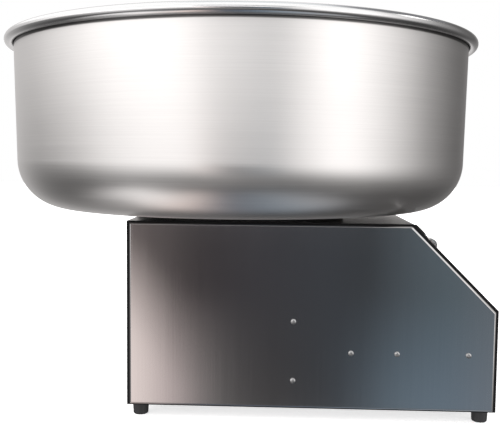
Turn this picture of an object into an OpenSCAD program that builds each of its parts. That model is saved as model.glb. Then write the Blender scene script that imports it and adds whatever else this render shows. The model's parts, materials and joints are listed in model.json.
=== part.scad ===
// Countertop cotton candy machine: a lift-off steel bowl over a motor driven spinner head,
// on a sheet metal base with a slanted control panel and a drawer.
// +X points to the front, where the controls and the drawer are, and +Z points up.
// The origin is on the floor, on the axis of the bowl. All lengths are in millimetres.

/* [Bowl] */
// Outer radius of the rolled rim
rim_r = 260; // [240:1:280]
// Radius of the roll that runs along the rim
rim_roll_r = 5.25; // [4:0.25:7]
// Height of the bowl from its underside to the top of the rim
bowl_h = 182; // [150:1:210]
// Amount by which the wall draws in from the rim down to the corner
bowl_taper = 2.5; // [0:0.5:10]
// Radius of the round corner between wall and bottom
bowl_corner_r = 52; // [30:1:70]
// Thickness of the bowl's sheet
bowl_sheet = 1; // [0.6:0.1:1.5]
// Thickness of the rubber seal on the edge of the bowl's hole
seal_t = 1.6; // [1:0.1:2.5]
// Width of the two lips of that seal
seal_lip = 5; // [3:0.5:6]

/* [Bowl seat] */
// Outer radius of the steel collar that centres the bowl
collar_r = 95; // [88:1:100]
// Height of the collar above the base
collar_h = 24; // [18:1:30]
// Gap between the collar's wall and the inside of the seat ring
seat_gap = 13; // [11:0.5:16]
// Width of the ring that the bowl rests on
seat_w = 11; // [8:0.5:14]
// Height of the seat ring
seat_h = 7.5; // [5:0.5:12]

/* [Base case] */
// Width of the base over its side panels
case_w = 280; // [260:1:320]
// Distance from the bowl's axis to the back of the base
case_back = 105.5; // [100:0.5:130]
// Distance from the bowl's axis to the front of the base
case_front = 261; // [250:1:290]
// Height of the base without its feet
case_h = 185.5; // [175:0.5:210]
// Depth of the slanted panel, seen from above
slant_run = 84; // [75:1:95]
// Height of the slanted panel, seen from the side
slant_drop = 84; // [75:1:90]
// Thickness of the case sheets
sheet = 1.2; // [0.8:0.1:1.6]
// Width of the flanges bent from the case sheets
flange_w = 12; // [8:1:14]
// Thickness of the black side plates
side_plate_t = 3; // [2:0.5:4]
// Thickness of the hollow pressed side panels
pan_t = 3; // [2.5:0.5:5]
// Black border that shows round a side panel in front, behind and along the slant
border = 3; // [2:0.5:6]
// Black border that shows over and under a side panel
border_thin = 1.5; // [1:0.5:4]
// Height of the feet
foot_h = 15; // [10:1:25]
// Radius of the feet at their top
foot_r = 8.5; // [7:0.5:10]

/* [Drawer] */
// Distance from a side of the base to the drawer's front
drawer_side = 9.5; // [9.5:0.5:20]
// Depth of the drawer's tray
drawer_depth = 139; // [100:1:150]
// Height of the bar under the drawer's front
drawer_sill = 6; // [4:1:12]
// Height of the bar over the drawer's front
drawer_head = 11.5; // [8:0.5:16]
// Height of the runners' middle over the underside of the case
runner_z = 57.5; // [45:0.5:65]
// Width of the recessed pull
pull_w = 90; // [60:1:120]
// Height of the recessed pull
pull_h = 28; // [22:1:36]
// Depth of the recessed pull
pull_d = 22; // [16:1:30]

/* [Controls] */
// Distance of the controls from the top edge of the slanted panel
control_s = 44.5; // [35:0.5:70]
// Distance from one control to the next
control_pitch = 46; // [35:1:70]
// Radius of the knob
knob_r = 9; // [8.5:0.5:14]
// Height of the knob's top over the panel
knob_top = 13.7; // [12:0.1:20]
// Radius of the round top of a switch boot
boot_r = 6.6; // [6.4:0.1:7.2]
// Height of a switch boot's top over the panel
boot_top = 9.6; // [9.5:0.1:13]

/* [Spinner head] */
// Radius of the head's base plate and cap
head_r = 76; // [70:1:84]
// Height of the slotted band
band_h = 36; // [32:1:45]
// Number of slots round the band
slot_count = 60; // [36:2:72]
// Width of one slot
slot_w = 1.6; // [1:0.1:2.4]
// Radius of the sugar cup's mouth
cup_r = 36; // [30:1:40]
// Clearance between the collar's top and the head
head_clear = 6; // [4:1:12]

/* [Drive] */
// Radius of the drive shaft
shaft_r = 6; // [5:0.5:7]
// Radius of the motor's housing
motor_r = 44; // [40:1:46]
// Height of the motor's housing between its end bells
motor_h = 66; // [56:1:72]
// Length of the posts that the motor hangs on
post_l = 38; // [30:1:44]
// Radius of the cooling fan
fan_r = 36; // [28:1:42]

/* [Hidden] */
$fn = 96;
// Facets of the large round sheets
round_fn = 180;
// Number of sides of a hex nut
hex = 6;

// Overrun of a cut past the face that it goes through
over = 1;
// Gap between a moving piece and the flat seat that it rests on
rest_gap = 0.2;
// Gap beside a moving piece
side_gap = 0.3;
// Radial gap of a shaft that turns in a hole
run_gap = 0.04;
// Radial gap of a pin that is fixed in a hole
fit_gap = 0.02;
// Gap round a body in its cut-out
cut_gap = 0.2;

// Corners of the case, and the middle planes of its inner faces
case_bottom = foot_h;
case_top = foot_h + case_h;
slant_x = case_front - slant_run;
slant_z = case_top - slant_drop;
slant_l = norm([slant_run, slant_drop]);
slant_a = atan2(slant_drop, slant_run);
panel_y = case_w / 2 - pan_t;
inner_y = panel_y - side_plate_t;
flange_y = inner_y - sheet;
inside_bottom = case_bottom + sheet;
inside_top = case_top - sheet;

// Bowl: the wall's outer radius at the roll and at the corner, and the hole's radius
bowl_z = case_top + seat_h + rest_gap;
wall_r = rim_r - 2 * rim_roll_r + bowl_sheet;
low_r = wall_r - bowl_taper;
roll_z = bowl_h - rim_roll_r;
// Part of the corner's height up to which it is drawn with the bottom, and the rest with the wall
corner_share = 0.28;
collar_gap = 1;
collar_t = 1.2;
collar_flange = 8;
hole_r = collar_r + collar_gap + seal_t;
seat_r = collar_r + seat_gap + seat_w;
seat_chamfer = 1;
// Open angle of the roll between its lip and the wall
roll_gap_a = 50;

// Screws through the side panels
screw_r = 1.45;
screw_gap = 0.05;
screw_head_r = 2.6;
screw_head_h = 1.7;
screw_slot_w = 0.7;
screw_slot_d = 0.9;
screw_slot_share = 0.55;
// Depth of the partition, and the heights of its two screws over the case's underside
partition_x = 53.7;
partition_flange = 14;
partition_screw_low = 28.8;
partition_screw_high = 88.1;
partition_hole_r = 12;
flange_gap = 1;
// Places of the runner's screws along it
runner_screw_shares = [0.056, 0.386, 0.894];

// Bevel of the side panels' edges
panel_bevel = 1.5;
panel_skin = 0.3;
// Place of the feet from the case's front or back, and from its side
foot_inset_x = 10.5;
foot_inset_y = 22.5;
foot_low_r = 7.6;
foot_chamfer = 0.8;
foot_screw_r = 2;
foot_head_r = 3.8;
foot_head_h = 2.4;
foot_bore_d = 5;
foot_nut_r = 3.9;
foot_nut_h = 3.2;
foot_spots = [for (x = [foot_inset_x - case_back, case_front - foot_inset_x])
              for (y = [-1, 1]) [x, y * (case_w / 2 - foot_inset_y)]];

// Vents
vent_w = 3.5;
vent_pitch = 9;
back_vent_l = 56;
back_vent_count = 7;
back_vent_y = 46;
back_vent_z = 100;
bottom_vent_l = 70;
bottom_vent_count = 9;

// Drawer
drawer_gap = 0.8;
drawer_w = case_w - 2 * drawer_side;
front_return = 10;
front_bottom = case_bottom + drawer_sill + drawer_gap;
front_top = slant_z - drawer_head - drawer_gap;
front_h = front_top - front_bottom;
tray_front = case_front - front_return;
tray_back = tray_front - drawer_depth;
tray_t = 1;
tray_rise = 2;
tray_drop = 5;
rail_w = 8.5;
rail_h = 10;
rail_end = 2;
tray_y = drawer_w / 2 - rail_w;
runner_w = rail_w;
runner_lip = 2;
runner_end = 2;
runner_h = rail_h + 2 * side_gap + 2 * runner_lip;
runner_web = inner_y - drawer_w / 2 - side_gap;
runner_front = case_front - sheet - flange_w - flange_gap;
runner_back = tray_back - runner_end;
runner_l = runner_front - runner_back;
runner_mid = case_bottom + runner_z;
pull_lip = 3;
pull_lip_t = 0.8;
pull_wall = 1.5;
pull_hook = 7;
pull_z = (front_bottom + front_top) / 2;

// Screw places on a side of the case, as X and Z
side_spots = concat(
    [for (z = [partition_screw_low, partition_screw_high])
        [partition_x + partition_flange / 2, case_bottom + z]],
    [for (s = runner_screw_shares) [runner_back + s * runner_l, runner_mid]]);
side_screw_l = case_w / 2 - drawer_w / 2 - 2 * side_gap;

// Controls
bezel_s = 15;
bezel_y = 21;
bezel_t = 2;
switch_s = 13;
switch_y = 18.8;
switch_d = 16;
rocker_w = 9;
rocker_l = 15;
rocker_gap = 0.6;
rocker_low_l = 13;
rocker_end_h = 4.9;
rocker_mid_h = 3.6;
rocker_floor = -1.5;
pocket_floor = -4;
pivot_h = 0;
pivot_r = 0.95;
pivot_l = 1.3;
// Tilt of a rocker in its off position, and the place of the two switches in the row
rocker_a = 10;
power_y = -control_pitch;
heat_y = 0;
knob_y = control_pitch;
boot_l = 20;
boot_top_l = 16;
boot_t = 0.8;
pot_r = 12;
pot_d = 12;
bush_r = 4.4;
bush_h = 6;
nut_r = 6.2;
nut_h = 2.4;
pot_shaft_r = 3;
pot_shaft_in = 6;
knob_lift = 0.6;
knob_skirt = 0.25;
knob_dome = 0.3;
knob_dome_r = (knob_r * knob_r + knob_dome * knob_dome) / (2 * knob_dome);
knob_recess_r = 7;
knob_recess_h = 3.2;
knob_bore_top = 2.4;
knob_flutes = 18;
knob_flute_r = 0.7;
knob_mark_w = 1.2;
knob_mark_d = 0.5;
// Direction of the knob's mark when it is off, from straight down the slope
knob_rest_a = -45;

// Spinner head
head_z = case_top + collar_h + head_clear;
plate_t = 3;
plate_top = head_z + plate_t;
band_inset = 5;
band_t = 1.2;
band_r = head_r - band_inset;
slot_margin = 7;
heater_gap = 6;
heater_t = 3;
heater_r = band_r - band_t - heater_gap;
heater_z = plate_top + slot_margin;
heater_h = band_h - 2 * slot_margin;
cap_t = 2;
cap_edge = 5;
cap_top = plate_top + band_h + cap_t;
cup_t = 1;
cup_draw = 7;
cup_rim_w = 4;
cup_lift = 12;
cup_floor = plate_top + cup_lift;
cup_outlets = 12;
cup_outlet_w = 3;
cup_outlet_h = 5;
cap_screw_r = 2;
cap_screw_head_r = 3.6;
cap_screw_head_h = 2.2;
cap_screw_ring = (cup_r + cup_rim_w + heater_r - heater_t) / 2;
cap_screw_count = 4;

// Slip rings and brushes
hub_r = 17;
hub_lift = 6;
hub_z = case_top + hub_lift;
ring_t = 3;
ring_h = 5;
ring_low = 3;
ring_step = 10;
ring_r = hub_r + ring_t;
ring_spots = [hub_z + ring_low, hub_z + ring_low + ring_step];
post_ring = 12.5;
post_stud_r = 2;
post_hole_r = 3.5;
post_top = 7;
strap_drop = 2;
strap_t = 1;
strap_w = 8;
strap_eye_r = 3.2;
block_gap = 4;
block_l = 28;
block_w = 22;
block_margin = 3.5;
brush_w = 7;
brush_l = 15;
spring_t = 0.5;

// Motor
shell_t = 2;
bell_t = 10;
motor_top = inside_top - post_l;
housing_top = motor_top - bell_t;
housing_bottom = housing_top - motor_h;
motor_bottom = housing_bottom - bell_t;
bearing_r = 13;
bearing_h = 8;
bearing_ledge = 2;
air_gap = 0.6;
core_h = 46;
rotor_r = 26;
stud_r = 4;
stud_ring = 34;
stud_screw_r = 2;
stud_screw_l = 10;
fan_h = 12;
fan_gap = 3;
fan_hub_r = 10;
fan_blades = 6;
fan_blade_t = 1.5;
fan_pitch_a = 35;
shaft_end = 2;
shaft_top_share = 0.82;
shaft_top_r = shaft_r * shaft_top_share;
head_nut_h = 6;
head_nut_r = 8;
plate_hole_r = 14;
collar_screw_count = 4;
capacitor_r = 17.5;
capacitor_h = 62;
capacitor_tab = [0.8, 6.3, 8];
capacitor_spot = [-72, 78];

// Control board on the front of the partition
board_t = 1.6;
board_w = 80;
board_h = 50;
board_y = -30;
board_z = 122;
boss_h = 8;
boss_r = 3.5;
boss_inset = 5;
board_x = partition_x + sheet + boss_h;
sink_w = 36;
sink_h = 30;
sink_base = 3;
sink_fin_l = 16;
sink_fin_t = 1.5;
sink_fins = 7;
part_margin = 4;
can_r = 7;
can_h = 20;
choke_r = 9;
choke_h = 8;
relay = [14, 18, 15];

// Terminal block, inlet and fuse holder
block_size = [24, 58, 17];
block_spot = [-80, -40];
block_ways = 6;
way_r = 2.6;
way_d = 6;
inlet_inset = 55;
inlet_y = inlet_inset - case_w / 2;
inlet_z = 38;
inlet_body = [20, 27.4, 19.8];
inlet_flange = [2, 34, 26];
inlet_mouth = [16.5, 24.4, 16.4];
inlet_pin = [13, 2, 5];
inlet_pin_in = 2;
inlet_pin_pitch = 7;
inlet_pin_lift = 2;
fuse_step = 37;
fuse_y = inlet_y + fuse_step;
fuse_r = 6;
fuse_l = 30;
fuse_cap_r = 7.5;
fuse_cap_h = 5;
fuse_slot_l = 10;
fuse_slot_w = 1.4;
fuse_slot_d = 1.5;

// Colours
steel = "#b9bab8";
dark_steel = "#8e9092";
black = "#1b1c1e";
soft_black = "#262729";
brass = "#c4a24a";
cream = "#d8cfb4";
aluminium = "#c6c8ca";

// The case's outline in X and Z, drawn in by one amount at the ends and along the slant
// and by another at the top and the bottom
function case_outline(ends, thin) =
    let (line = slant_drop * case_front + slant_run * slant_z - ends * slant_l,
         front = case_front - ends, top = case_top - thin)
    [[ends - case_back, case_bottom + thin],
     [front, case_bottom + thin],
     [front, (line - slant_drop * front) / slant_run],
     [(line - slant_run * top) / slant_drop, top],
     [ends - case_back, top]];

// An outline in X and Z, made solid from y over a thickness t
module slab(y, t, points)
    translate([0, y + t, 0]) rotate([90, 0, 0]) linear_extrude(t) polygon(points);

// One side of the case's outline between two insets
module strip(i, out, in, y, t) {
    a = case_outline(out, out);
    b = case_outline(in, in);
    j = (i + 1) % len(a);
    slab(y, t, [a[i], a[j], b[j], b[i]]);
}

// A case sheet along one side of the outline, with a flange at each end
module wrap(i) {
    strip(i, 0, sheet, -inner_y, 2 * inner_y);
    for (y = [-inner_y, flange_y]) strip(i, sheet, sheet + flange_w, y, sheet);
}

// A ring about the bowl's axis
module ring(outer, inner, z, h)
    translate([0, 0, z]) difference() {
        cylinder(r = outer, h = h);
        translate([0, 0, -over]) cylinder(r = inner, h = h + 2 * over);
    }

// A box given by its middle in X and Y, its floor and its size
module block(middle, z, size)
    translate([middle[0] - size[0] / 2, middle[1] - size[1] / 2, z]) cube(size);

// Copies round the bowl's axis at a radius
module around(count, r, start = 0)
    for (i = [0:count - 1]) rotate([0, 0, start + i * 360 / count]) translate([r, 0, 0]) children();

// The slanted panel's own frame: X runs down the slope, Z stands out of it
module on_panel(y)
    translate([slant_x, 0, case_top]) rotate([0, slant_a, 0]) translate([control_s, y, 0]) children();

// Bores for the side screws, through the whole case
module side_bores()
    for (p = side_spots) translate([p[0], -case_w, p[1]]) rotate([-90, 0, 0])
        cylinder(r = screw_r + screw_gap, h = 2 * case_w);

// A pan head screw whose head stands up from z = 0 and whose shank goes down
module pan_screw(r, l, head_r, head_h) {
    difference() {
        intersection() {
            cylinder(r = head_r, h = head_h);
            translate([0, 0, head_h - 2 * head_r]) sphere(r = 2 * head_r);
        }
        for (a = [0, 90]) rotate([0, 0, a])
            translate([-head_r * screw_slot_share, -screw_slot_w / 2, head_h - screw_slot_d])
                cube([2 * head_r * screw_slot_share, screw_slot_w, head_h]);
    }
    translate([0, 0, -l]) cylinder(r = r, h = l);
}

// Bowl

// The bowl's round corner between two heights
module bowl_corner(low, high) translate([low_r - bowl_corner_r, 0]) intersection() {
    translate([0, bowl_corner_r]) difference() {
        circle(r = bowl_corner_r);
        circle(r = bowl_corner_r - bowl_sheet);
    }
    translate([0, low]) square([bowl_corner_r, high - low]);
}

// The bowl is one spun sheet, drawn in two parts that meet within its round corner
module bowl_bottom() color(steel) translate([0, 0, bowl_z]) rotate_extrude($fn = round_fn) {
    translate([hole_r, 0]) square([low_r - bowl_corner_r - hole_r, bowl_sheet]);
    bowl_corner(0, corner_share * bowl_corner_r);
}

module bowl_wall() color(steel) translate([0, 0, bowl_z]) rotate_extrude($fn = round_fn) {
    bowl_corner(corner_share * bowl_corner_r, bowl_corner_r);
    polygon([[low_r - bowl_sheet, bowl_corner_r], [low_r, bowl_corner_r],
             [wall_r, roll_z], [wall_r - bowl_sheet, roll_z]]);
    translate([rim_r - rim_roll_r, roll_z]) difference() {
        circle(r = rim_roll_r);
        circle(r = rim_roll_r - bowl_sheet);
        polygon([[0, 0], [-2 * rim_roll_r, 0], [-2 * rim_roll_r, -2 * rim_roll_r],
                 2 * rim_roll_r * [cos(180 + roll_gap_a), sin(180 + roll_gap_a)]]);
    }
}

module bowl_seal() color(black) translate([0, 0, bowl_z]) rotate_extrude($fn = round_fn)
    translate([hole_r - seal_t, -seal_t]) difference() {
        square([seal_t + seal_lip, 2 * seal_t + bowl_sheet]);
        translate([seal_t, seal_t]) square([seal_lip + over, bowl_sheet]);
    }

// Base case

module side_panel() difference() {
    hull() {
        slab(-case_w / 2, panel_skin, case_outline(border + panel_bevel, border_thin + panel_bevel));
        slab(panel_bevel - case_w / 2, pan_t - panel_bevel, case_outline(border, border_thin));
    }
    slab(sheet - case_w / 2, pan_t, case_outline(border + sheet, border_thin + sheet));
    side_bores();
}

module side_plate() difference() {
    slab(-panel_y, side_plate_t, case_outline(0, 0));
    side_bores();
}

module side_panel_left() color(steel) side_panel();

module side_panel_right() color(steel) mirror([0, 1, 0]) side_panel();

module side_plate_left() color(black) side_plate();

module side_plate_right() color(black) mirror([0, 1, 0]) side_plate();

module top_plate() color(steel) difference() {
    wrap(3);
    translate([0, 0, inside_top - over]) cylinder(r = plate_hole_r, h = sheet + 2 * over);
    around(cap_screw_count, stud_ring, 45) translate([0, 0, inside_top - over])
        cylinder(r = stud_screw_r + screw_gap, h = sheet + 2 * over);
    around(collar_screw_count, collar_r + collar_flange / 2, 45) translate([0, 0, inside_top - over])
        cylinder(r = screw_r + screw_gap, h = sheet + 2 * over);
}

module control_panel() color(steel) difference() {
    wrap(2);
    for (y = [power_y, heat_y]) on_panel(y)
        block([0, 0], -sheet - over, [switch_s + 2 * cut_gap, switch_y + 2 * cut_gap, sheet + 2 * over]);
    on_panel(knob_y) translate([0, 0, -sheet - over]) cylinder(r = bush_r + cut_gap, h = sheet + 2 * over);
}

module front_frame() color(steel) difference() {
    wrap(1);
    translate([case_front - sheet - over, -drawer_w / 2 - drawer_gap, front_bottom - drawer_gap])
        cube([sheet + 2 * over, drawer_w + 2 * drawer_gap, front_h + 2 * drawer_gap]);
}

module back_panel() color(steel) difference() {
    wrap(4);
    for (side = [-1, 1], i = [0:back_vent_count - 1])
        translate([-case_back - over, side * back_vent_y - back_vent_l / 2, back_vent_z + i * vent_pitch])
            cube([sheet + 2 * over, back_vent_l, vent_w]);
    translate([-case_back - over, inlet_y - inlet_body[1] / 2 - cut_gap,
               case_bottom + inlet_z - inlet_body[2] / 2 - cut_gap])
        cube([sheet + 2 * over, inlet_body[1] + 2 * cut_gap, inlet_body[2] + 2 * cut_gap]);
    translate([-case_back - over, fuse_y, case_bottom + inlet_z]) rotate([0, 90, 0])
        cylinder(r = fuse_r + cut_gap, h = sheet + 2 * over);
}

module bottom_plate() color(steel) difference() {
    wrap(0);
    for (p = foot_spots) translate([p[0], p[1], case_bottom - over])
        cylinder(r = foot_screw_r + screw_gap, h = sheet + 2 * over);
    for (i = [0:bottom_vent_count - 1])
        block([(i - (bottom_vent_count - 1) / 2) * vent_pitch, 0], case_bottom - over,
              [vent_w, bottom_vent_l, sheet + 2 * over]);
}

module partition() color(dark_steel) difference() {
    union() {
        translate([partition_x, -flange_y, inside_bottom])
            cube([sheet, 2 * flange_y, inside_top - inside_bottom]);
        for (y = [-inner_y, flange_y]) translate([partition_x, y, inside_bottom + flange_w + flange_gap])
            cube([partition_flange, sheet, inside_top - inside_bottom - 2 * flange_w - 2 * flange_gap]);
        for (y = [boss_inset, board_w - boss_inset], z = [boss_inset, board_h - boss_inset])
            translate([partition_x, board_y - board_w / 2 + y, board_z + z]) rotate([0, 90, 0])
                cylinder(r = boss_r, h = sheet + boss_h);
    }
    side_bores();
    translate([partition_x - over, inner_y / 2, case_top - 4 * partition_hole_r]) rotate([0, 90, 0])
        cylinder(r = partition_hole_r, h = sheet + 2 * over);
}

module runner() difference() {
    translate([runner_back, -inner_y, runner_mid - runner_h / 2])
        cube([runner_l, runner_web + runner_w, runner_h]);
    translate([runner_back + runner_end, runner_web - inner_y, runner_mid - rail_h / 2 - side_gap])
        cube([runner_l, runner_w + over, rail_h + 2 * side_gap]);
    side_bores();
}

module drawer_runners() color(cream) {
    runner();
    mirror([0, 1, 0]) runner();
}

module foot() difference() {
    rotate_extrude() polygon([[0, 0], [foot_low_r - foot_chamfer, 0], [foot_low_r, foot_chamfer],
                              [foot_r, foot_h - foot_chamfer], [foot_r, foot_h], [0, foot_h]]);
    translate([0, 0, -over]) cylinder(r = foot_screw_r + screw_gap, h = foot_h + 2 * over);
    translate([0, 0, -over]) cylinder(r = foot_head_r + cut_gap, h = foot_bore_d + over);
}

module feet() color(black) for (p = foot_spots) translate([p[0], p[1], 0]) foot();

module foot_screws() color(dark_steel) for (p = foot_spots) translate([p[0], p[1], foot_bore_d]) {
    mirror([0, 0, 1])
        pan_screw(foot_screw_r, foot_h - foot_bore_d + sheet + foot_nut_h, foot_head_r, foot_head_h);
    translate([0, 0, inside_bottom - foot_bore_d]) difference() {
        cylinder(r = foot_nut_r, h = foot_nut_h, $fn = hex);
        translate([0, 0, -over]) cylinder(r = foot_screw_r + fit_gap, h = foot_nut_h + 2 * over);
    }
}

module side_screws() color(dark_steel) for (side = [-1, 1], p = side_spots)
    translate([p[0], side * case_w / 2, p[1]]) rotate([-side * 90, 0, 0])
        pan_screw(screw_r, side_screw_l, screw_head_r, screw_head_h);

// Bowl seat and what stands on the top plate

module seat_ring() color(soft_black) translate([0, 0, case_top]) rotate_extrude($fn = round_fn)
    polygon([[seat_r - seat_w, 0], [seat_r, 0], [seat_r, seat_h - seat_chamfer],
             [seat_r - seat_chamfer, seat_h], [seat_r - seat_w + seat_chamfer, seat_h],
             [seat_r - seat_w, seat_h - seat_chamfer]]);

module centring_collar() color(steel) difference() {
    translate([0, 0, case_top]) rotate_extrude($fn = round_fn)
        polygon([[collar_r - collar_t, 0], [collar_r + collar_flange, 0],
                 [collar_r + collar_flange, collar_t], [collar_r, collar_t],
                 [collar_r, collar_h], [collar_r - collar_t, collar_h]]);
    around(collar_screw_count, collar_r + collar_flange / 2, 45) translate([0, 0, case_top - over])
        cylinder(r = screw_r + screw_gap, h = collar_t + 2 * over);
}

module top_plate_screws() color(dark_steel) {
    around(cap_screw_count, stud_ring, 45) translate([0, 0, case_top])
        pan_screw(stud_screw_r, sheet + stud_screw_l, cap_screw_head_r, cap_screw_head_h);
    around(collar_screw_count, collar_r + collar_flange / 2, 45) translate([0, 0, case_top + collar_t])
        pan_screw(screw_r, collar_t + 2 * sheet, screw_head_r, screw_head_h);
}

module brush_space(z, grow)
    translate([ring_r, -brush_w / 2 - grow, z - grow])
        cube([block_gap + block_l + over, brush_w + 2 * grow, ring_h + 2 * grow]);

module brush_block() color(soft_black) difference() {
    translate([ring_r + block_gap, -block_w / 2, case_top])
        cube([block_l, block_w, ring_spots[1] + ring_h + block_margin - case_top]);
    for (z = ring_spots) brush_space(z, cut_gap);
}

module carbon_brushes() color(black) for (z = ring_spots)
    translate([ring_r + side_gap, -brush_w / 2, z]) cube([brush_l, brush_w, ring_h]);

// A leaf spring's arm presses on the brush, and its foot lies on the back of the block
module brush_springs() color(brass) for (z = ring_spots) {
    arm = ring_r + side_gap + brush_l;
    back = ring_r + block_gap + block_l;
    translate([arm, -brush_w / 4, z + ring_h / 2]) cube([back - arm + spring_t, brush_w / 2, spring_t]);
    translate([back, -brush_w / 4, z]) cube([spring_t, brush_w / 2, ring_h + 2 * spring_t]);
}

// Motor

module motor_housing() color("#3c4650") ring(motor_r, motor_r - shell_t, housing_bottom, motor_h);

module stator_core() color("#6b6d70")
    ring(motor_r - shell_t - fit_gap, rotor_r + air_gap, (housing_bottom + housing_top - core_h) / 2, core_h);

// An end bell with its bearing seat at z = 0, opening downwards
module end_bell() difference() {
    cylinder(r = motor_r, h = bell_t);
    translate([0, 0, -over]) cylinder(r = bearing_r + fit_gap, h = bearing_h + over);
    cylinder(r = bearing_r - bearing_ledge, h = bell_t + over);
}

module motor_top_bell() color(aluminium) translate([0, 0, housing_top]) difference() {
    end_bell();
    around(cap_screw_count, stud_ring, 45) translate([0, 0, bell_t / 2])
        cylinder(r = stud_screw_r + fit_gap, h = bell_t);
}

module motor_bottom_bell() color(aluminium) translate([0, 0, housing_bottom]) mirror([0, 0, 1]) end_bell();

module motor_bearings() color(dark_steel) {
    ring(bearing_r, shaft_r + run_gap, housing_top, bearing_h);
    ring(bearing_r, shaft_r + run_gap, housing_bottom - bearing_h, bearing_h);
}

module motor_posts() color(dark_steel) around(cap_screw_count, stud_ring, 45)
    translate([0, 0, motor_top]) difference() {
        union() {
            cylinder(r = stud_r, h = post_l);
            translate([0, 0, -bell_t / 2]) cylinder(r = stud_screw_r, h = bell_t);
        }
        translate([0, 0, post_l - stud_screw_l - over])
            cylinder(r = stud_screw_r + fit_gap, h = stud_screw_l + 2 * over);
    }

module run_capacitor() color(aluminium)
    translate([capacitor_spot[0], capacitor_spot[1], inside_bottom]) {
        cylinder(r = capacitor_r, h = capacitor_h);
        for (x = [-1, 1]) block([x * capacitor_r / 2, 0], capacitor_h, capacitor_tab);
    }

// Control board

module control_board() color("#1f5a3a")
    translate([board_x, board_y - board_w / 2, board_z]) cube([board_t, board_w, board_h]);

module board_parts() color(soft_black) translate([board_x + board_t, board_y, board_z]) {
    for (z = [part_margin + can_r, part_margin + 3 * can_r + part_margin])
        translate([0, board_w / 2 - part_margin - can_r, z]) rotate([0, 90, 0])
            cylinder(r = can_r, h = can_h);
    translate([0, board_w / 2 - 2 * part_margin - 3 * can_r, part_margin + choke_r]) rotate([0, 90, 0])
        difference() {
            cylinder(r = choke_r, h = choke_h);
            translate([0, 0, -over]) cylinder(r = choke_r / 2, h = choke_h + 2 * over);
        }
    translate([0, board_w / 2 - 2 * part_margin - 3 * can_r - relay[1] / 2, board_h - part_margin - relay[2]])
        cube(relay);
}

module heat_sink() color(aluminium)
    translate([board_x + board_t, board_y + part_margin - board_w / 2, board_z + (board_h - sink_h) / 2]) {
        cube([sink_base, sink_w, sink_h]);
        for (i = [0:sink_fins - 1]) translate([0, i * (sink_w - sink_fin_t) / (sink_fins - 1), 0])
            cube([sink_fin_l, sink_fin_t, sink_h]);
    }

// Power connection

module terminal_block() color(cream) difference() {
    block(block_spot, inside_bottom, block_size);
    for (i = [0:block_ways - 1])
        translate([block_spot[0], block_spot[1] + (i + 0.5) * block_size[1] / block_ways - block_size[1] / 2,
                   inside_bottom + block_size[2] - way_d]) cylinder(r = way_r, h = way_d + over);
}

// The inlet's own frame has its X at the panel's outer face, pointing into the case
module at_inlet() translate([-case_back, inlet_y, case_bottom + inlet_z]) children();

module power_inlet() color(soft_black) at_inlet() difference() {
    union() {
        translate([0, -inlet_body[1] / 2, -inlet_body[2] / 2]) cube(inlet_body);
        translate([-inlet_flange[0], -inlet_flange[1] / 2, -inlet_flange[2] / 2]) cube(inlet_flange);
    }
    translate([-inlet_flange[0] - over, -inlet_mouth[1] / 2, -inlet_mouth[2] / 2])
        cube([inlet_mouth[0] + over, inlet_mouth[1], inlet_mouth[2]]);
    for (i = [-1:1]) inlet_pin_box(i, fit_gap);
}

// A pin of the inlet, which starts inside the body and stops short of the mouth
module inlet_pin_box(i, grow)
    translate([inlet_mouth[0] - inlet_flange[0] - inlet_pin[0] + inlet_pin_in,
               i * inlet_pin_pitch - inlet_pin[1] / 2 - grow,
               (i == 0 ? inlet_pin_lift : -inlet_pin_lift) - inlet_pin[2] / 2 - grow])
        cube([inlet_pin[0], inlet_pin[1] + 2 * grow, inlet_pin[2] + 2 * grow]);

module inlet_pins() color(brass) at_inlet() for (i = [-1:1]) inlet_pin_box(i, 0);

module fuse_holder() color(soft_black)
    translate([-case_back, fuse_y, case_bottom + inlet_z]) rotate([0, 90, 0]) difference() {
        union() {
            cylinder(r = fuse_r, h = fuse_l);
            translate([0, 0, -fuse_cap_h]) cylinder(r = fuse_cap_r, h = fuse_cap_h);
        }
        translate([-fuse_slot_l / 2, -fuse_slot_w / 2, -fuse_cap_h - over])
            cube([fuse_slot_l, fuse_slot_w, fuse_slot_d + over]);
    }

// Controls, each drawn about its own place on the slanted panel

module bezel() difference() {
    union() {
        block([0, 0], 0, [bezel_s, bezel_y, bezel_t]);
        block([0, 0], -switch_d, [switch_s, switch_y, switch_d]);
    }
    block([0, 0], pocket_floor, [rocker_w + 2 * side_gap, rocker_l + 2 * rocker_gap, switch_d]);
    translate([-rocker_w / 2 - pivot_l - side_gap, 0, pivot_h]) rotate([0, 90, 0])
        cylinder(r = pivot_r + run_gap, h = rocker_w + 2 * pivot_l + 2 * side_gap);
}

module switch_bezels() color(black) for (y = [power_y, heat_y]) on_panel(y) bezel();

// The boot's shape, drawn in by a wall's thickness for its inside
module boot_form(in) intersection() {
    union() {
        translate([0, -boot_l, boot_top - boot_r]) rotate([-90, 0, 0])
            cylinder(r = boot_r - in, h = 2 * boot_l);
        block([0, 0], bezel_t, [2 * boot_r - 2 * in, boot_l, boot_top - boot_r - bezel_t]);
    }
    translate([-boot_r, 0, bezel_t]) rotate([90, 0, 90]) linear_extrude(2 * boot_r)
        polygon([[in - boot_l / 2, 0], [boot_l / 2 - in, 0], [boot_top_l / 2 - in, boot_top - bezel_t - in],
                 [in - boot_top_l / 2, boot_top - bezel_t - in]]);
}

module switch_boots() color("#e4e6e6", 0.4) for (y = [power_y, heat_y]) on_panel(y) difference() {
    boot_form(0);
    boot_form(boot_t);
}

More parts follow.
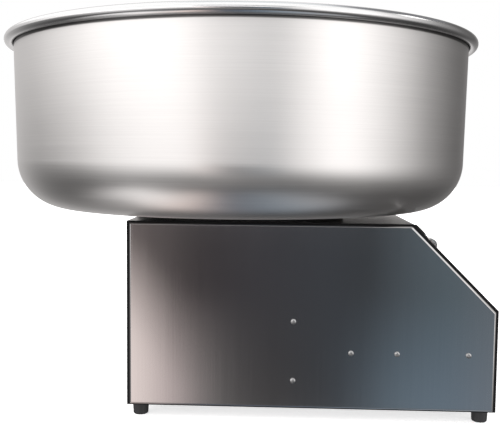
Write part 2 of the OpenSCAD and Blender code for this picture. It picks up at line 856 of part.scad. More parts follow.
module rocker() translate([0, 0, pivot_h]) rotate([-rocker_a, 0, 0]) translate([0, 0, -pivot_h]) {
    translate([-rocker_w / 2, 0, 0]) rotate([90, 0, 90]) linear_extrude(rocker_w)
        polygon([[-rocker_low_l / 2, rocker_floor], [rocker_low_l / 2, rocker_floor], [rocker_l / 2, pivot_h],
                 [rocker_l / 2, rocker_end_h], [0, rocker_mid_h], [-rocker_l / 2, rocker_end_h],
                 [-rocker_l / 2, pivot_h]]);
    translate([-rocker_w / 2 - pivot_l, 0, pivot_h]) rotate([0, 90, 0])
        cylinder(r = pivot_r, h = rocker_w + 2 * pivot_l);
}

module power_rocker() color("#7c1512") on_panel(power_y) rocker();

module heat_rocker() color(black) on_panel(heat_y) rocker();

module potentiometer() color(dark_steel) on_panel(knob_y) {
    difference() {
        union() {
            translate([0, 0, -sheet - pot_d]) cylinder(r = pot_r, h = pot_d);
            translate([0, 0, -sheet]) cylinder(r = bush_r, h = sheet + bush_h);
        }
        translate([0, 0, -sheet - pot_shaft_in - side_gap])
            cylinder(r = pot_shaft_r + run_gap, h = sheet + pot_shaft_in + bush_h + over);
    }
    difference() {
        cylinder(r = nut_r, h = nut_h, $fn = hex);
        translate([0, 0, -over]) cylinder(r = bush_r + fit_gap, h = nut_h + 2 * over);
    }
}

module pot_shaft() color(aluminium) on_panel(knob_y) translate([0, 0, -sheet - pot_shaft_in])
    cylinder(r = pot_shaft_r, h = sheet + pot_shaft_in + knob_top - knob_bore_top);

module heat_knob() color(black) on_panel(knob_y) difference() {
    intersection() {
        translate([0, 0, knob_lift])
            cylinder(r1 = knob_r + knob_skirt, r2 = knob_r - knob_skirt, h = knob_top - knob_lift);
        translate([0, 0, knob_top - knob_dome_r]) sphere(r = knob_dome_r, $fn = round_fn);
    }
    translate([0, 0, knob_lift - over]) cylinder(r = knob_recess_r, h = knob_recess_h + over);
    translate([0, 0, knob_lift]) cylinder(r = bush_r + side_gap, h = bush_h);
    cylinder(r = pot_shaft_r + fit_gap, h = knob_top - knob_bore_top + cut_gap);
    around(knob_flutes, knob_r + knob_flute_r / 2) translate([0, 0, knob_recess_h])
        cylinder(r = knob_flute_r, h = knob_top);
    rotate([0, 0, knob_rest_a]) translate([0, -knob_mark_w / 2, knob_top - knob_dome - knob_mark_d])
        cube([knob_r + over, knob_mark_w, knob_top]);
}

// Spinner

module drive_shaft() color(dark_steel) {
    bottom = motor_bottom - fan_gap - fan_h - shaft_end;
    translate([0, 0, bottom]) cylinder(r = shaft_r, h = head_z - bottom);
    translate([0, 0, head_z - over]) cylinder(r = shaft_top_r, h = plate_t + head_nut_h + shaft_end + over);
}

module rotor_core() color("#6b6d70")
    ring(rotor_r, shaft_r + fit_gap, (housing_bottom + housing_top - core_h) / 2, core_h);

module cooling_fan() color(soft_black) translate([0, 0, motor_bottom - fan_gap - fan_h]) {
    difference() {
        union() {
            cylinder(r = fan_hub_r, h = fan_h);
            intersection() {
                cylinder(r = fan_r, h = fan_h);
                for (i = [0:fan_blades - 1]) rotate([0, 0, i * 360 / fan_blades]) translate([0, 0, fan_h / 2])
                    rotate([90 - fan_pitch_a, 0, 0]) translate([shaft_r, -fan_h, -fan_blade_t / 2])
                        cube([fan_r, 2 * fan_h, fan_blade_t]);
            }
        }
        translate([0, 0, -over]) cylinder(r = shaft_r + fit_gap, h = fan_h + 2 * over);
    }
}

module insulating_hub() color(cream) difference() {
    ring(hub_r, shaft_r + fit_gap, hub_z, head_z - hub_z);
    around(2, post_ring) translate([0, 0, hub_z + ring_low])
        cylinder(r = post_stud_r + fit_gap, h = head_z - hub_z);
}

module slip_rings() color(brass) for (z = ring_spots) ring(ring_r, hub_r + fit_gap, z, ring_h);

module terminal_posts() color(brass) around(2, post_ring) translate([0, 0, hub_z + ring_low])
    cylinder(r = post_stud_r, h = plate_top + post_top - hub_z - ring_low);

module head_plate() color(aluminium) difference() {
    translate([0, 0, head_z]) cylinder(r = head_r, h = plate_t, $fn = round_fn);
    translate([0, 0, head_z - over]) cylinder(r = shaft_top_r + fit_gap, h = plate_t + 2 * over);
    around(2, post_ring) translate([0, 0, head_z - over]) cylinder(r = post_hole_r, h = plate_t + 2 * over);
    around(cap_screw_count, cap_screw_ring, 45) translate([0, 0, head_z - over])
        cylinder(r = cap_screw_r + fit_gap, h = plate_t + 2 * over);
}

// The heater ring, with the two straps that carry it on the terminal posts
module heater_ring() color("#9a8f86") {
    ring(heater_r, heater_r - heater_t, heater_z, heater_h);
    strap_z = plate_top + post_top - strap_drop;
    strap_end = heater_r - heater_t / 2;
    for (a = [0, 180]) rotate([0, 0, a]) difference() {
        union() {
            translate([post_ring, 0, strap_z]) cylinder(r = strap_eye_r, h = strap_t);
            translate([post_ring, -strap_eye_r, strap_z]) cube([strap_w, 2 * strap_eye_r, strap_t]);
            translate([post_ring + strap_eye_r, -strap_w / 2, strap_z])
                cube([strap_end - post_ring - strap_eye_r, strap_w, strap_t]);
            translate([strap_end - heater_t / 2 - strap_t, -strap_w / 2, strap_z])
                cube([heater_t / 2 + strap_t, strap_w, heater_z + heater_t - strap_z]);
        }
        translate([post_ring, 0, strap_z - over])
            cylinder(r = post_stud_r + fit_gap, h = strap_t + 2 * over);
    }
}

// The band's wall seen from above
module band_ring() difference() {
    circle(r = band_r, $fn = round_fn);
    circle(r = band_r - band_t, $fn = round_fn);
}

module spinner_band() color(steel) translate([0, 0, plate_top]) {
    for (z = [0, band_h - slot_margin]) translate([0, 0, z]) linear_extrude(slot_margin) band_ring();
    translate([0, 0, slot_margin]) linear_extrude(band_h - 2 * slot_margin) difference() {
        band_ring();
        for (i = [0:slot_count / 2 - 1]) rotate((i + 0.5) * 360 / slot_count)
            translate([-head_r, -slot_w / 2]) square([2 * head_r, slot_w]);
    }
}

module head_cap() color(aluminium) difference() {
    union() {
        translate([0, 0, cap_top - cap_t]) cylinder(r = head_r, h = cap_t, $fn = round_fn);
        ring(head_r, head_r - band_t, cap_top - cap_t - cap_edge, cap_edge + cap_t / 2);
    }
    translate([0, 0, cap_top - cap_t - over]) cylinder(r = cup_r + fit_gap, h = cap_t + 2 * over);
    around(cap_screw_count, cap_screw_ring, 45) translate([0, 0, cap_top - cap_t - over])
        cylinder(r = cap_screw_r + screw_gap, h = cap_t + 2 * over);
}

// The sugar cup hangs by its rim in the cap, and outlets run round its floor
module sugar_cup() color(aluminium) difference() {
    rotate_extrude() {
        polygon([[cup_r - cup_draw - cup_t, cup_floor], [cup_r - cup_draw, cup_floor],
                 [cup_r, cap_top - cap_t], [cup_r, cap_top + cup_t], [cup_r - cup_t, cap_top + cup_t],
                 [cup_r - cup_t, cap_top - cap_t]]);
        translate([0, cup_floor]) square([cup_r - cup_draw - cup_t / 2, cup_t]);
        translate([cup_r - cup_t, cap_top]) square([cup_rim_w + cup_t, cup_t]);
    }
    for (i = [0:cup_outlets / 2 - 1]) rotate([0, 0, i * 360 / cup_outlets])
        translate([-cup_r, -cup_outlet_w / 2, cup_floor + cup_t])
            cube([2 * cup_r, cup_outlet_w, cup_outlet_h]);
}

module head_fasteners() color(dark_steel) {
    around(cap_screw_count, cap_screw_ring, 45) translate([0, 0, cap_top])
        pan_screw(cap_screw_r, cap_top - head_z, cap_screw_head_r, cap_screw_head_h);
    translate([0, 0, plate_top]) difference() {
        cylinder(r = head_nut_r, h = head_nut_h, $fn = hex);
        translate([0, 0, -over]) cylinder(r = shaft_top_r + fit_gap, h = head_nut_h + 2 * over);
    }
}

// Drawer

module drawer_tray() color(steel) difference() {
    bottom = front_bottom + tray_rise;
    height = front_top - tray_drop - bottom;
    union() {
        translate([tray_back, -tray_y, bottom]) cube([drawer_depth, 2 * tray_y, height]);
        translate([tray_front - tray_t, -drawer_w / 2, front_bottom]) cube([tray_t, drawer_w, front_h]);
    }
    translate([tray_back + tray_t, tray_t - tray_y, bottom + tray_t])
        cube([drawer_depth - 2 * tray_t, 2 * tray_y - 2 * tray_t, height]);
    translate([tray_front - tray_t - over, -pull_w / 2 - side_gap, pull_z - pull_h / 2 - side_gap])
        cube([tray_t + 2 * over, pull_w + 2 * side_gap, pull_h + 2 * side_gap]);
}

module drawer_front() color(steel) difference() {
    translate([tray_front, -drawer_w / 2, front_bottom]) cube([front_return, drawer_w, front_h]);
    translate([tray_front - over, sheet - drawer_w / 2, front_bottom + sheet])
        cube([front_return + over - sheet, drawer_w - 2 * sheet, front_h - 2 * sheet]);
    translate([tray_front, -pull_w / 2, pull_z - pull_h / 2]) cube([front_return + over, pull_w, pull_h]);
}

module drawer_pull() color(black) difference() {
    union() {
        translate([case_front - pull_d, -pull_w / 2 + cut_gap, pull_z - pull_h / 2 + cut_gap])
            cube([pull_d, pull_w - 2 * cut_gap, pull_h - 2 * cut_gap]);
        translate([case_front, -pull_w / 2 - pull_lip, pull_z - pull_h / 2 - pull_lip])
            cube([pull_lip_t, pull_w + 2 * pull_lip, pull_h + 2 * pull_lip]);
    }
    translate([case_front - pull_d + pull_wall, -pull_w / 2 + pull_wall, pull_z - pull_h / 2 + pull_wall])
        cube([pull_d - 2 * pull_wall, pull_w - 2 * pull_wall, pull_h - 2 * pull_wall]);
    translate([case_front - 2 * pull_wall, -pull_w / 2 + pull_wall, pull_z - pull_h / 2 + pull_wall])
        cube([pull_d, pull_w - 2 * pull_wall, pull_h - 2 * pull_wall - pull_hook]);
}

module drawer_rails() color(cream) for (side = [-1, 1])
    translate([tray_back + side_gap, side > 0 ? tray_y : -tray_y - rail_w, runner_mid - rail_h / 2])
        cube([drawer_depth - side_gap - rail_end, rail_w, rail_h]);

bowl_wall();
bowl_bottom();
bowl_seal();
side_panel_left();
side_panel_right();
side_plate_left();
side_plate_right();
top_plate();
control_panel();
front_frame();
back_panel();
bottom_plate();
partition();
drawer_runners();
feet();
foot_screws();
side_screws();
seat_ring();
centring_collar();
top_plate_screws();
brush_block();
carbon_brushes();
brush_springs();
motor_housing();
stator_core();
motor_top_bell();
motor_bottom_bell();
motor_bearings();
motor_posts();
run_capacitor();
control_board();
board_parts();
heat_sink();
terminal_block();
power_inlet();
inlet_pins();
fuse_holder();
switch_bezels();
switch_boots();
potentiometer();
power_rocker();
heat_rocker();
heat_knob();
pot_shaft();
drive_shaft();
rotor_core();
cooling_fan();
insulating_hub();
slip_rings();
terminal_posts();
head_plate();
heater_ring();
spinner_band();
head_cap();
sugar_cup();
head_fasteners();
drawer_tray();
drawer_front();
drawer_pull();
drawer_rails();
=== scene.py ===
"""Countertop cotton candy machine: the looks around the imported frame.

Lengths are in metres and in the frame's axes, unless a name or a comment says otherwise."""

import json
import math

import bmesh
import bpy
from mathutils import Matrix, Vector

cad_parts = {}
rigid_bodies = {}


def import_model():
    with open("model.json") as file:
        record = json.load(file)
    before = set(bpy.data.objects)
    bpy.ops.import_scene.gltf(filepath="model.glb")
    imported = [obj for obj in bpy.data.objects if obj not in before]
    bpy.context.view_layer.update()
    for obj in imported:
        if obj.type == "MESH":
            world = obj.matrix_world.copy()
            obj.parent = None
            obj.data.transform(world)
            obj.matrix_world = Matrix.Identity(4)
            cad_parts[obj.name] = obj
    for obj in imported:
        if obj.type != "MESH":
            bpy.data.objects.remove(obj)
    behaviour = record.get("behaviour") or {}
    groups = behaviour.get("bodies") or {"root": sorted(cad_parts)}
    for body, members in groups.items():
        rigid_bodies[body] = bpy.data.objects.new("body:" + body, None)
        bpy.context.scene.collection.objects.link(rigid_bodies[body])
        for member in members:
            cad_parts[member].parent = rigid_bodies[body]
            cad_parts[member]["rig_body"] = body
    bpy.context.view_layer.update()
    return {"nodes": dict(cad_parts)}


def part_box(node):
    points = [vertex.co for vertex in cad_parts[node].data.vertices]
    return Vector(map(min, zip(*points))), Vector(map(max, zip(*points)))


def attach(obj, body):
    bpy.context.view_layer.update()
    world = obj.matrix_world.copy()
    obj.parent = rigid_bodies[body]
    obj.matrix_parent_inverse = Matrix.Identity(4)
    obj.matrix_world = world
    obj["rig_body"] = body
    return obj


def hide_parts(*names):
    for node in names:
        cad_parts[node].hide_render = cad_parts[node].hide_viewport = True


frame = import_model()
MM = 0.001

# Camera, fitted to the photograph's outline: in millimetres, degrees and pixels
CAMERA_MM = (46.37, -858.75, 264.52)
YAW, PITCH, ROLL = -2.36, -4.2246, 0.5582
FOCAL_PX, PHOTO_WIDTH_PX = 738.19, 500
SENSOR_MM = 36.0
NEAREST, FARTHEST = 0.01, 100


def make_camera():
    yaw, pitch, roll = (math.radians(a) for a in (YAW, PITCH, ROLL))
    flat = math.cos(pitch)
    forward = Vector((math.sin(yaw) * flat, math.cos(yaw) * flat, math.sin(pitch)))
    level = Vector((math.cos(yaw), -math.sin(yaw), 0))
    upright = level.cross(forward)
    right = level * math.cos(roll) + upright * math.sin(roll)
    up = upright * math.cos(roll) - level * math.sin(roll)
    data = bpy.data.cameras.new("camera")
    data.sensor_width = SENSOR_MM
    data.sensor_fit = "HORIZONTAL"
    data.lens = FOCAL_PX * SENSOR_MM / PHOTO_WIDTH_PX
    data.clip_start, data.clip_end = NEAREST, FARTHEST
    camera = bpy.data.objects.new("camera", data)
    bpy.context.collection.objects.link(camera)
    axes = Matrix((right, up, -forward)).transposed()
    camera.matrix_world = Matrix.Translation(Vector(CAMERA_MM) / 1000) @ axes.to_4x4()
    bpy.context.scene.camera = camera


# Nodes

class Graph:
    """A node tree, with short calls to make its nodes and join them."""

    def __init__(self, tree):
        self.nodes, self.links = tree.nodes, tree.links

    def put(self, socket, value):
        """Joins a socket to another one, or sets its own number or colour."""
        if isinstance(value, bpy.types.NodeSocket):
            self.links.new(value, socket)
        else:
            socket.default_value = value

    def make(self, kind, *values, **settings):
        """A node with its settings made, and then its first inputs filled in their order."""
        node = self.nodes.new("ShaderNode" + kind)
        for name, setting in settings.items():
            setattr(node, name, setting)
        for socket, value in zip(node.inputs, values):
            self.put(socket, value)
        return node

    def math(self, kind, *values):
        return self.make("Math", *values, operation=kind).outputs[0]

    def split(self, vector):
        return self.make("SeparateXYZ", vector).outputs

    def join(self, x, y, z):
        return self.make("CombineXYZ", x, y, z).outputs[0]

    def spread(self, value, low, high, out_low, out_high):
        """Maps the range from low to high to another one, and cuts off what is outside."""
        return self.make("MapRange", value, low, high, out_low, out_high).outputs[0]

    def slope(self, value, low, high):
        """0 at low and 1 at high, and smooth between. Low may be the larger number."""
        turned = high < low
        ends = min(low, high), max(low, high), float(turned), float(not turned)
        return self.make("MapRange", value, *ends, interpolation_type="SMOOTHSTEP").outputs[0]

    def mix(self, factor, low, high):
        """A colour between two, each a tuple or a socket."""
        node = self.make("Mix", factor, data_type="RGBA")
        for socket, color in ((node.inputs[6], low), (node.inputs[7], high)):
            self.put(socket, (*color, 1) if isinstance(color, tuple) else color)
        return node.outputs[2]

    def ramp(self, value, stops):
        """A colour from stops, each a place from 0 to 1 and a colour."""
        node = self.make("ValToRGB", value)
        node.color_ramp.interpolation = "LINEAR"
        elements = node.color_ramp.elements
        while len(elements) < len(stops):
            elements.new(0.5)
        for element, (place, color) in zip(elements, stops):
            element.position = place
            element.color = (*color, 1)
        return node.outputs[0]


class Tree(Graph):
    """The nodes of a new material."""

    def __init__(self, name):
        self.material = bpy.data.materials.new(name)
        self.material.use_nodes = True
        super().__init__(self.material.node_tree)
        self.shader = self.nodes["Principled BSDF"]
        self.place = self.make("TexCoord").outputs["Object"]

    def scaled(self, scale):
        node = self.make("Mapping", self.place)
        node.inputs["Scale"].default_value = scale
        return node.outputs[0]

    def noise(self, vector, scale=1.0, detail=4.0, rough=0.55):
        node = self.make("TexNoise", vector)
        for name, value in (("Scale", scale), ("Detail", detail), ("Roughness", rough)):
            node.inputs[name].default_value = value
        return node.outputs["Fac"]

    def bump(self, height, strength, distance):
        node = self.make("Bump")
        self.put(node.inputs["Height"], height)
        node.inputs["Strength"].default_value = strength
        node.inputs["Distance"].default_value = distance
        self.links.new(node.outputs[0], self.shader.inputs["Normal"])

    def set(self, **values):
        """Fills the shader's inputs, whose names have _ for a space here."""
        for name, value in values.items():
            self.put(self.shader.inputs[name.replace("_", " ")], value)


# Materials

# Most values of a noise lie between these two
NOISE = (0.3, 0.7)
# Metal marks that run round the bowl's axis: waves per metre along them and across them
RING_FINE, RING_BROAD = (7.0, 1400.0), (3.0, 120.0)
# The scale of broad marks as a part of the fine ones' scale, and the fine ones' share of the tone
BROADER, FINE_SHARE = 0.12, 0.72
# How much the clouds of wear add to the tone, and the range of the sum
CLOUD_SHARE, WORN = 0.6, (0.5, 1.1)
# How much painted shade is mixed in at a crease, and the shade's colour as a share of the metal's
# own
CREASE_DARK, CREASE_SHADE = 0.86, 0.08
# Which way the highlights of spun metal are drawn out, in turns
SPUN_TURN = 0.25
# Bump heights of polished and of brushed metal
POLISHED, BRUSHED = 0.00001, 0.00003
# The sheets of a laminated stack repeat at this pitch
SHEET_PITCH = 0.6 * MM


def shade(color, factor):
    return tuple(min(1.0, c * factor) for c in color)


def from_axis(tree):
    """X, Y, Z and the distance from the bowl's axis."""
    x, y, z = tree.split(tree.place)
    squares = tree.math("ADD", tree.math("MULTIPLY", x, x), tree.math("MULTIPLY", y, y))
    return x, y, z, tree.math("SQRT", squares)


def ring_space(tree, along, across):
    """Coordinates for marks round the bowl's axis, on its walls and on its flats alike."""
    x, y, z, radius = from_axis(tree)
    return tree.join(tree.math("MULTIPLY", x, along), tree.math("MULTIPLY", y, along),
                     tree.math("MULTIPLY", tree.math("ADD", z, radius), across))


def brushed(name, color, rough, grain, aniso=0.0, marks=0.06, spread=0.06, depth=BRUSHED,
            crease=None):
    """Brushed or spun metal. grain is "ring", or the scale of the marks along X, Y and Z.

    crease says where painted shade darkens the metal below a dark gap: the two heights between
    which it darkens, and the least distance from the bowl's axis."""
    tree = Tree(name)
    if grain == "ring":
        fine_space, broad_space = ring_space(tree, *RING_FINE), ring_space(tree, *RING_BROAD)
    else:
        fine_space, broad_space = tree.scaled(grain), tree.scaled(tuple(g * BROADER for g in grain))
    fine = tree.noise(fine_space, detail=5, rough=0.7)
    broad = tree.noise(broad_space, detail=3)
    cloud = tree.noise(tree.place, scale=9.0, detail=3)
    tone = tree.math("ADD", tree.math("MULTIPLY", fine, FINE_SHARE),
                     tree.math("MULTIPLY", broad, 1 - FINE_SHARE))
    worn = tree.math("ADD", tone, tree.math("MULTIPLY", cloud, CLOUD_SHARE))
    base = tree.mix(tree.spread(tone, *NOISE, 0, 1),
                    shade(color, 1 - marks), shade(color, 1 + marks))
    # Painted shade at the crease: darker between two heights, farther from the axis than the least
    # distance
    if crease:
        low, high, least = crease
        z, radius = from_axis(tree)[2:]
        grime_and_painted_shade = tree.math("MULTIPLY", tree.spread(z, low, high, 0, CREASE_DARK),
                          tree.math("GREATER_THAN", radius, least))
        base = tree.mix(grime_and_painted_shade, base, shade(color, CREASE_SHADE))
    tree.set(Base_Color=base, Metallic=1.0,
             Roughness=tree.spread(worn, *WORN, rough - spread, rough + spread))
    if aniso:
        tangent = tree.make("Tangent", direction_type="RADIAL", axis="Z").outputs[0]
        tree.set(Anisotropic=aniso, Anisotropic_Rotation=SPUN_TURN, Tangent=tangent)
    tree.bump(fine, strength=0.35, distance=depth)
    return tree.material


def moulded(name, color, rough, scale=900.0, depth=0.00004, coat=0.0, light=1.6, metallic=0.0,
            gloss=0.5):
    """Moulded plastic, rubber or powder coat: a fine skin, slight clouds and handling marks."""
    tree = Tree(name)
    fine = tree.noise(tree.place, scale=scale, detail=3)
    cloud = tree.noise(tree.place, scale=22.0, detail=4)
    base = tree.mix(tree.spread(cloud, 0.35, 0.7, 0, 1), color, shade(color, light))
    handled = tree.spread(cloud, 0.3, 0.75, rough - 0.07, rough + 0.09)
    tree.set(Base_Color=base, Roughness=handled, Metallic=metallic, Coat_Weight=coat,
             Specular_IOR_Level=gloss)
    tree.bump(fine, strength=0.3, distance=depth)
    return tree.material


def cast(name, color, rough, metallic=1.0):
    """Cast metal or fired ceramic with a coarse skin."""
    tree = Tree(name)
    grain = tree.noise(tree.place, scale=700.0, detail=5, rough=0.65)
    cloud = tree.noise(tree.place, scale=40.0, detail=3)
    tree.set(Base_Color=tree.mix(cloud, shade(color, 0.8), shade(color, 1.15)), Metallic=metallic,
             Roughness=tree.spread(grain, *NOISE, rough - 0.1, rough + 0.1))
    tree.bump(grain, strength=0.5, distance=0.00012)
    return tree.material


def laminated(name, color):
    """A stack of thin sheets, whose edges show as lines."""
    tree = Tree(name)
    z = tree.split(tree.place)[2]
    wave = tree.math("SINE", tree.math("MULTIPLY", z, 2 * math.pi / SHEET_PITCH))
    grime_and_painted_shade = tree.noise(tree.place, scale=90.0, detail=4)
    lines = tree.math("MULTIPLY", tree.spread(wave, -1, 1, 0, 1), grime_and_painted_shade)
    tree.set(Base_Color=tree.mix(lines, shade(color, 0.5), shade(color, 1.3)), Metallic=0.8,
             Roughness=tree.spread(grime_and_painted_shade, *NOISE, 0.35, 0.55))
    tree.bump(wave, strength=0.4, distance=0.00008)
    return tree.material


def clear_cover(name):
    """A soft clear splash cover, slightly smoky and dusted."""
    tree = Tree(name)
    cloud = tree.noise(tree.place, scale=160.0, detail=4)
    tree.set(Base_Color=tree.mix(cloud, (0.33, 0.34, 0.35), (0.5, 0.51, 0.52)),
             Roughness=tree.spread(cloud, *NOISE, 0.03, 0.12), Transmission_Weight=0.8, IOR=1.4)
    tree.bump(cloud, strength=0.2, distance=0.00008)
    return tree.material


def circuit_board(name):
    """A circuit board's solder mask over straight copper tracks."""
    tree = Tree(name)
    y, z = tree.split(tree.place)[1:]
    tracks = tree.make("TexBrick", tree.join(y, z, 0.0))
    for socket, value in (("Scale", 60.0), ("Mortar Size", 0.035),
                          ("Color1", (0.012, 0.085, 0.035, 1)), ("Color2", (0.014, 0.10, 0.042, 1)),
                          ("Mortar", (0.03, 0.19, 0.08, 1))):
        tracks.inputs[socket].default_value = value
    cloud = tree.noise(tree.place, scale=60.0, detail=3)
    tree.set(Base_Color=tracks.outputs["Color"], Roughness=tree.spread(cloud, *NOISE, 0.25, 0.4))
    tree.bump(tracks.outputs["Fac"], strength=0.3, distance=0.00005)
    return tree.material


# Painted shade at two creases: under the bowl's roll, and along the side panel's upper edge
ROLL_TOP, PANEL_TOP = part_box("bowl_wall")[1].z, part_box("side_panel_right")[1].z
ROLL_CREASE = (ROLL_TOP - 12.8 * MM, ROLL_TOP - 11.7 * MM, 0.25)
PANEL_CREASE = (PANEL_TOP - 1.8 * MM, PANEL_TOP - 0.8 * MM, 0.0)

# Base colours of the steels and of the darkest finishes
BOWL, RIM, SIDE = (0.66, 0.655, 0.65), (0.62, 0.625, 0.63), (0.56, 0.555, 0.555)
CASE, HEAD, ZINC = (0.62, 0.615, 0.61), (0.6, 0.595, 0.59), (0.36, 0.365, 0.37)
COAT, BLACK, SWITCH = (0.005, 0.005, 0.0055), (0.010, 0.010, 0.011), (0.012, 0.012, 0.013)
MATERIALS = {
    # The bowl's steel and the side panels' steel get painted shade at their creases
    "stainless_bowl": brushed("bowl_steel", BOWL, 0.33, "ring", aniso=0.35, crease=ROLL_CREASE),
    "rim": brushed("rim_steel", RIM, 0.16, "ring", marks=0.08, spread=0.05, depth=POLISHED),
    "stainless_case": brushed("case_steel", SIDE, 0.088, (900.0, 900.0, 8.0), marks=0.035,
                              spread=0.024, crease=PANEL_CREASE, depth=POLISHED),
    "stainless_slope": brushed("slope_steel", CASE, 0.26, (1100.0, 2.5, 1100.0)),
    "stainless_top": brushed("top_steel", CASE, 0.26, (2.5, 1100.0, 1100.0)),
    "stainless_drawer": brushed("drawer_steel", CASE, 0.25, (900.0, 2.5, 1100.0)),
    "stainless_head": brushed("head_steel", HEAD, 0.26, "ring", aniso=0.3),
    "side_plate_black": moulded("black_coat", COAT, 0.5, scale=1400.0, depth=0.00006, light=1.5,
                                gloss=0.07),
    "seat_black": moulded("seat_black", BLACK, 0.5, scale=800.0, light=1.6, gloss=0.2),
    "seal_rubber": moulded("seal_rubber", (0.014, 0.014, 0.014), 0.6, scale=600.0, light=1.8),
    "foot_rubber": moulded("foot_rubber", (0.011, 0.011, 0.012), 0.58, scale=700.0, depth=0.0001,
                           light=2.0),
    "inner_steel": brushed("galvanised", (0.42, 0.43, 0.44), 0.4, (60.0, 60.0, 60.0), marks=0.14,
                           spread=0.08),
    "screw_steel": brushed("zinc", ZINC, 0.3, (400.0, 400.0, 400.0), marks=0.1),
    "brass": brushed("brass", (0.62, 0.44, 0.16), 0.25, "ring", marks=0.08),
    "carbon": moulded("carbon", (0.02, 0.02, 0.021), 0.5, scale=1500.0, metallic=0.2),
    "spring_bronze": brushed("bronze", (0.55, 0.36, 0.16), 0.3, (300.0, 30.0, 30.0)),
    "phenolic_black": moulded("phenolic", (0.022, 0.018, 0.015), 0.45, scale=500.0),
    "cream_plastic": moulded("cream", (0.62, 0.55, 0.4), 0.45, light=1.15),
    "motor_paint": moulded("motor_paint", (0.05, 0.07, 0.1), 0.4, scale=500.0, light=1.5),
    "motor_iron": laminated("motor_iron", (0.3, 0.3, 0.31)),
    "aluminium": brushed("aluminium", (0.56, 0.57, 0.58), 0.3, "ring", marks=0.07),
    "aluminium_cast": cast("aluminium_cast", (0.62, 0.63, 0.64), 0.45),
    "board_green": circuit_board("board_green"),
    "black_plastic": moulded("black_plastic", SWITCH, 0.36, scale=1200.0, light=1.7, gloss=0.3),
    "boot_clear": clear_cover("boot_clear"),
    "rocker_red": moulded("rocker_red", (0.30, 0.012, 0.010), 0.28, scale=1000.0, coat=0.3,
                          light=1.25),
    "rocker_black": moulded("rocker_black", SWITCH, 0.3, scale=1000.0, light=1.6),
    "mark_white": moulded("mark_white", (0.8, 0.8, 0.78), 0.5, light=1.05),
    "heater_ceramic": cast("heater_ceramic", (0.42, 0.36, 0.31), 0.7, metallic=0.0),
    "runner_plastic": moulded("runner_plastic", (0.6, 0.57, 0.48), 0.42, light=1.15),
}

# Meshes

# Faces that meet at less than this many degrees look as one smooth surface
SMOOTH_UP_TO = 40.0
# Edges sharper than this many degrees are rounded, in this many steps
ROUNDED_FROM, ROUNDED_STEPS = 35, 2
# Points closer than this are one, and faces that meet at less than this many degrees are one flat
WELD, FLAT_UP_TO = 1e-6, 1.0
# Turned shapes: their faces round the axis, and what keeps them within the CAD model's box
LATHE_STEPS, LATHE_SHRINK = 360, 0.99986
# Steps of the bowl's round corner and of its roll, and of a mark's round end and of an oval
CORNER_STEPS, ROLL_STEPS, END_STEPS, OVAL_STEPS = 24, 36, 8, 36
# The underside of a mark lies in the surface, and its top stands just proud of it
MARK_LOW, MARK_HIGH = -0.00015, 0.00008
# The record's slot that is passed with the marks, because it has none for white; their material is
# mark_white
MARK_SLOT = "cream_plastic"


def link(name, mesh, slot, body, material=None):
    """Puts a finished mesh into the scene, on its body and in its material."""
    piece = bpy.data.objects.new(name, mesh)
    bpy.context.collection.objects.link(piece)
    mesh.materials.clear()
    mesh.materials.append(MATERIALS[material or slot])
    for polygon in mesh.polygons:
        polygon.use_smooth = True
    mesh.set_sharp_from_angle(angle=math.radians(SMOOTH_UP_TO))
    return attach(piece, body)


def mesh_of(name, points, faces):
    """A mesh whose faces all look outwards."""
    mesh = bpy.data.meshes.new(name)
    mesh.from_pydata([tuple(p) for p in points], [], faces)
    mesh.validate()
    bm = bmesh.new()
    bm.from_mesh(mesh)
    bmesh.ops.recalc_face_normals(bm, faces=bm.faces)
    bm.to_mesh(mesh)
    bm.free()
    return mesh


def arc(x, y, radius, start, end, steps):
    """The points of an arc about (x, y), between two angles in degrees."""
    angles = [math.radians(start + (end - start) * k / steps) for k in range(steps + 1)]
    return [(x + radius * math.cos(a), y + radius * math.sin(a)) for a in angles]


def bar(length, width):
    """The outline of a bar with round ends along X, about its middle."""
    end = arc(length / 2 - width / 2, 0, width / 2, -90, 90, END_STEPS)
    return end + [(-x, -y) for x, y in end]


def oval(length, width):
    angles = [2 * math.pi * k / OVAL_STEPS for k in range(OVAL_STEPS)]
    return [(length / 2 * math.cos(a), width / 2 * math.sin(a)) for a in angles]


def inlay(name, place, body, outer, inner=(), high=MARK_HIGH):
    """A thin mark in the plane of place, from its outline and, for a ring, its inner outline."""
    n = len(outer)
    loops = [[(x, y, MARK_LOW) for x, y in outer], [(x, y, high) for x, y in outer]]
    if inner:
        loops += [[(x, y, high) for x, y in inner], [(x, y, MARK_LOW) for x, y in inner]]
    faces = []
    for i in range(len(loops) if inner else 1):
        a, b = i * n, (i + 1) % len(loops) * n
        faces += [(a + k, a + (k + 1) % n, b + (k + 1) % n, b + k) for k in range(n)]
    if not inner:  # a mark without a hole has a face below and one above
        faces += [tuple(range(n))[::-1], tuple(range(n, 2 * n))]
    points = [place @ Vector(point) for loop in loops for point in loop]
    link(name, mesh_of(name, points, faces), MARK_SLOT, body, "mark_white")


def lathe(name, outline):
    """A closed outline of radius and height, turned about the bowl's axis."""
    points, faces = [], []
    n = len(outline)
    for i in range(LATHE_STEPS):
        a = 2 * math.pi * i / LATHE_STEPS
        for radius, z in outline:
            radius *= LATHE_SHRINK
            points.append((radius * math.cos(a), radius * math.sin(a), z))
        j = (i + 1) % LATHE_STEPS
        for k in range(n):
            m = (k + 1) % n
            faces.append((i * n + k, j * n + k, j * n + m, i * n + m))
    return mesh_of(name, points, faces)


